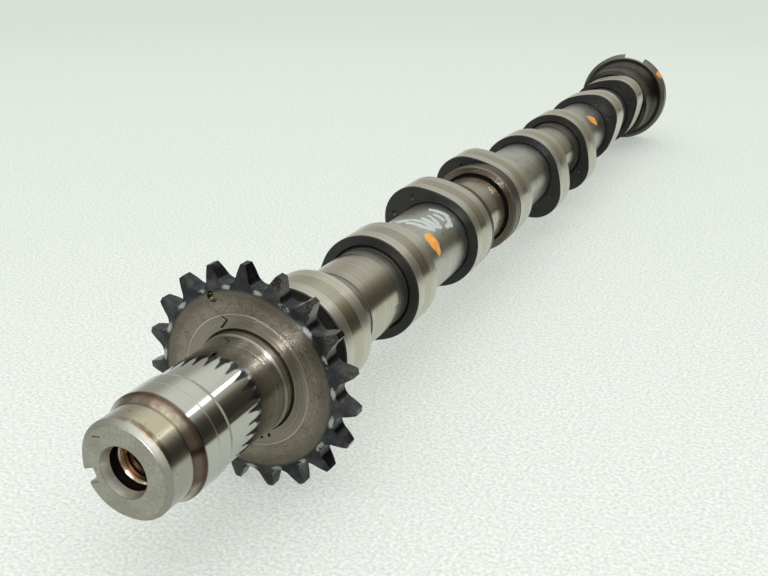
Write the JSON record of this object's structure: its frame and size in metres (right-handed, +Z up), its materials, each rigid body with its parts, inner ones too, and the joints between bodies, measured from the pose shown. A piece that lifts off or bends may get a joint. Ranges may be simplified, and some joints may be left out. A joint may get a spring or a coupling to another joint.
{
  "type": "camshaft",
  "caption": "Assembled engine camshaft: hollow shaft with pressed-on cam lobes, thrust rings and chain sprocket, threaded nose and slotted rear drive flange.",
  "frame": {"origin": "centre of the thrust journal: on the shaft's axis, midway between the two thrust rings", "axes": "+Y along the shaft's axis from the threaded nose to the drive flange, +Z up, +X to the right seen from the nose"},
  "size_m": [0.0526, 0.396, 0.0524],
  "materials": {
    "end_piece_steel": "ground and polished lands, stained cone",
    "tube_steel": "satin as drawn, ground on the journals",
    "lobe_steel": "ground running surface, dark scaled sides",
    "ring_steel": "polished running face, dark rim",
    "sprocket_steel": "blasted web, blackened teeth",
    "flange_steel": "turned satin"
  },
  "bodies": {
    "root": {"front_end_piece": "end_piece_steel", "shaft_tube": "tube_steel", "chain_sprocket": "sprocket_steel", "cam_lobe_1": "lobe_steel", "cam_lobe_2": "lobe_steel", "cam_lobe_3": "lobe_steel", "cam_lobe_4": "lobe_steel", "cam_lobe_5": "lobe_steel", "cam_lobe_6": "lobe_steel", "cam_lobe_7": "lobe_steel", "cam_lobe_8": "lobe_steel", "thrust_ring_front": "ring_steel", "thrust_ring_rear": "ring_steel", "drive_flange": "flange_steel"}
  },
  "joints": []
}
